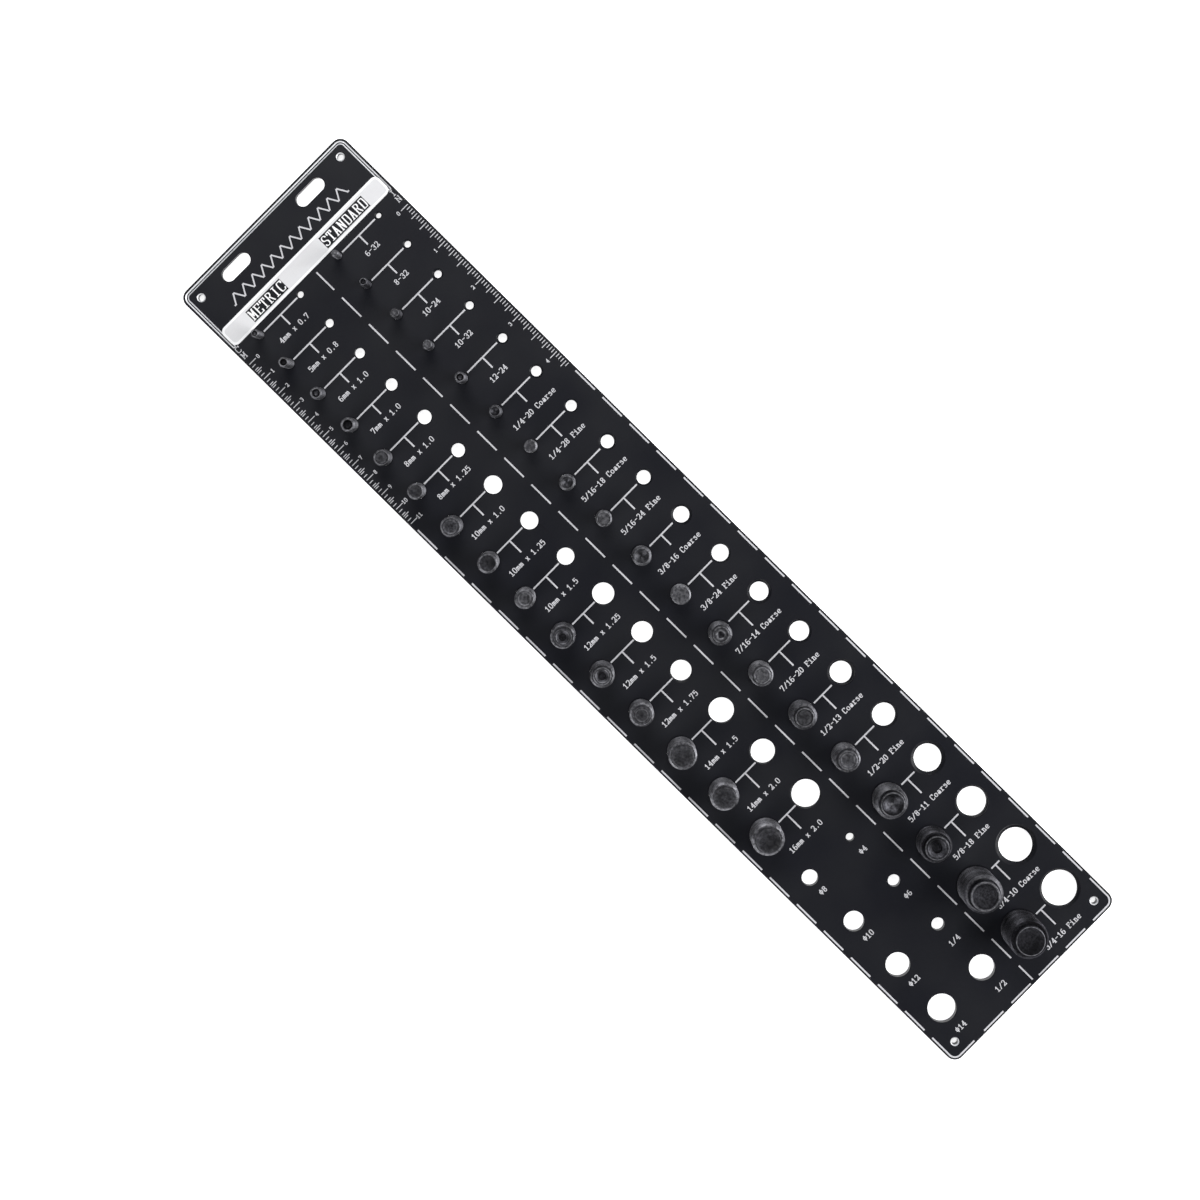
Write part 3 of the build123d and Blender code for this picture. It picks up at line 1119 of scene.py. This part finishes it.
class ThreadPlateSettings(bpy.types.PropertyGroup):
    """Sizes of the plate's edges, mouths and groove, and its colour"""

    corner_radius: length("Corner radius", "Radius of the plate's corners", 5.0)
    edge_chamfer: length("Edge chamfer", "Chamfer along the plate's edges", 0.4)
    mouth_chamfer: length("Mouth chamfer", "Chamfer at the mouths of the holes", 0.25)
    seat_gap: length("Seat gap", "Gap round each screw where it enters the plate", 0.03)
    groove_inset: length("Groove inset", "From the edge to the middle of the head frame's groove", 2.03)
    groove_width: length("Groove width", "Width of the head frame's groove", 1.75)
    groove_depth: length("Groove depth", "Depth of the head frame's groove", 0.5)
    groove_length: length("Groove length", "How far the groove runs down the long edges", 35.6)
    dye: colour("Dye", "Colour of the anodising", "#0e0f16")


class ThreadScrewSettings(bpy.types.PropertyGroup):
    """Colour of the screws"""

    oxide: colour("Oxide", "Colour of the blackened steel", "#232326")


class ThreadMarkSettings(bpy.types.PropertyGroup):
    """Sizes of the printed marks"""

    thickness: length("Thickness", "How far a mark stands above the plate", 0.02)
    line_width: length("Line width", "Width of the leader lines and dashes", 0.8)
    letter_height: length("Letter height", "Height of the capitals in the size labels", 2.95)
    letter_advance: length("Letter spacing", "From one letter of a label to the next", 2.13)


class ThreadStageSettings(bpy.types.PropertyGroup):
    """Colour and brightness of the table, the lights and the room"""

    floor: colour("Floor", "Colour of the lit table", "#ffffff")
    glow: strength("Glow", "How brightly the table is lit from inside", 0.9)
    key: FloatProperty(
        name="Key light", description="Power of the soft light at the side", default=39.0, unit="POWER"
    )
    sky: strength("Surround", "Brightness of the room around", 0.12)


class THREADCHECKER_OT_plate(bpy.types.Operator):
    """Add the drilled and tapped plate"""

    bl_idname = "thread_checker.plate"
    bl_label = "Plate"

    def execute(self, context):
        settings = context.scene.thread_plate
        surface, bare = plate_surface(settings)
        piece = make_piece("plate_body", surface, anodised_aluminium(settings.dye), SMOOTH_BELOW)
        piece.data.materials.append(milled_aluminium())
        piece.data.polygons.foreach_set("material_index", bare.astype(np.int32))
        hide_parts("plate")
        return {"FINISHED"}


class THREADCHECKER_OT_screws(bpy.types.Operator):
    """Add the threaded set screws"""

    bl_idname = "thread_checker.screws"
    bl_label = "Screws"

    def execute(self, context):
        material = black_oxide_steel(context.scene.thread_screws.oxide)
        for name, thread in THREADS.items():
            surface, attributes = screw_surface(name, thread)
            piece = make_piece("set_screw_" + name, surface, material, SMOOTH_BELOW, attributes)
            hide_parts("screw_" + name)
        return {"FINISHED"}


class THREADCHECKER_OT_sizes(bpy.types.Operator):
    """Add the leader lines and the size labels"""

    bl_idname = "thread_checker.sizes"
    bl_label = "Size Marks"

    def execute(self, context):
        settings = context.scene.thread_marks
        for metric, series in ((True, "metric"), (False, "inch")):
            make_mark(f"{series}_leader_lines", leader_marks(metric, settings), settings)
            make_mark(f"{series}_size_labels", label_marks(metric, settings), settings)
        return {"FINISHED"}


class THREADCHECKER_OT_rulers(bpy.types.Operator):
    """Add the two rulers and the dashed lines"""

    bl_idname = "thread_checker.rulers"
    bl_label = "Rulers and Dashes"

    def execute(self, context):
        settings = context.scene.thread_marks
        make_mark("edge_rulers", ruler_marks(), settings)
        make_mark("dashed_lines", dash_marks(settings), settings)
        return {"FINISHED"}


class THREADCHECKER_OT_heading(bpy.types.Operator):
    """Add the bar, the words and the drawn thread at the head"""

    bl_idname = "thread_checker.heading"
    bl_label = "Heading"

    def execute(self, context):
        heading_marks(context.scene.thread_marks)
        return {"FINISHED"}


class THREADCHECKER_OT_stage(bpy.types.Operator):
    """Add the lit table, the soft lights, the surround and the camera"""

    bl_idname = "thread_checker.stage"
    bl_label = "Stage"

    def execute(self, context):
        scene = context.scene
        settings = scene.thread_stage
        radius, thick, gap = 3000, 20, 0.1
        disc = fill([circle((0, 0), radius, TABLE_COLUMNS)[:-1]])
        material = pale_floor(settings.floor, settings.glow)
        table = add_object("floor", new_mesh("floor", slab(disc, -gap - thick, -gap), material))

        for name, at, target, size, part in LIGHTS:
            soft_light(name, at, target, size, settings.key * part)
        world = bpy.data.worlds.new("surround")
        world.use_nodes = True
        tree = world.node_tree
        tree.nodes.clear()
        sky = add_node(tree, "ShaderNodeBackground", {"Color": linear("#f4f6fa"), "Strength": settings.sky})
        add_node(tree, "ShaderNodeOutputWorld", {"Surface": sky.outputs[0]})
        scene.world = world

        data = bpy.data.cameras.new("camera")
        data.sensor_width = SENSOR
        data.lens = PHOTO_SCALE * (CAMERA_AT[2] / MM - PLATE.thick) * SENSOR / PHOTO_SIZE
        data.shift_x, data.shift_y = CAMERA_SHIFT
        camera = add_object("camera", data)
        camera.location = CAMERA_AT
        camera.rotation_euler = (0, 0, CAMERA_TURN)
        scene.camera = camera
        scene.view_settings.view_transform = "Standard"
        return {"FINISHED"}


SETTINGS = {
    "thread_plate": ThreadPlateSettings,
    "thread_screws": ThreadScrewSettings,
    "thread_marks": ThreadMarkSettings,
    "thread_stage": ThreadStageSettings,
}
OPERATORS = (
    THREADCHECKER_OT_plate,
    THREADCHECKER_OT_screws,
    THREADCHECKER_OT_sizes,
    THREADCHECKER_OT_rulers,
    THREADCHECKER_OT_heading,
    THREADCHECKER_OT_stage,
)


class THREADCHECKER_PT_panel(bpy.types.Panel):
    """Lists the pieces of the thread checker, with their sizes and colours"""

    bl_label = "Thread Checker"
    bl_idname = "THREADCHECKER_PT_panel"
    bl_space_type = "VIEW_3D"
    bl_region_type = "UI"
    bl_category = "Thread Checker"

    def draw(self, context):
        for operator in OPERATORS:
            self.layout.operator(operator.bl_idname)
        for name, group in SETTINGS.items():
            rows = self.layout.box()
            for field in group.__annotations__:
                rows.prop(getattr(context.scene, name), field)


CLASSES = (*SETTINGS.values(), *OPERATORS, THREADCHECKER_PT_panel)


def register():
    """Registers the classes and gives the scene its settings."""
    for cls in CLASSES:
        bpy.utils.register_class(cls)
    for name, group in SETTINGS.items():
        setattr(bpy.types.Scene, name, PointerProperty(type=group))


def unregister():
    """Takes the settings and the classes away again."""
    for name in SETTINGS:
        delattr(bpy.types.Scene, name)
    for cls in reversed(CLASSES):
        bpy.utils.unregister_class(cls)


def main():
    """Builds every piece and the stage."""
    register()
    bpy.ops.thread_checker.plate()
    bpy.ops.thread_checker.screws()
    bpy.ops.thread_checker.sizes()
    bpy.ops.thread_checker.rulers()
    bpy.ops.thread_checker.heading()
    bpy.ops.thread_checker.stage()


if __name__ == "__main__":
    main()
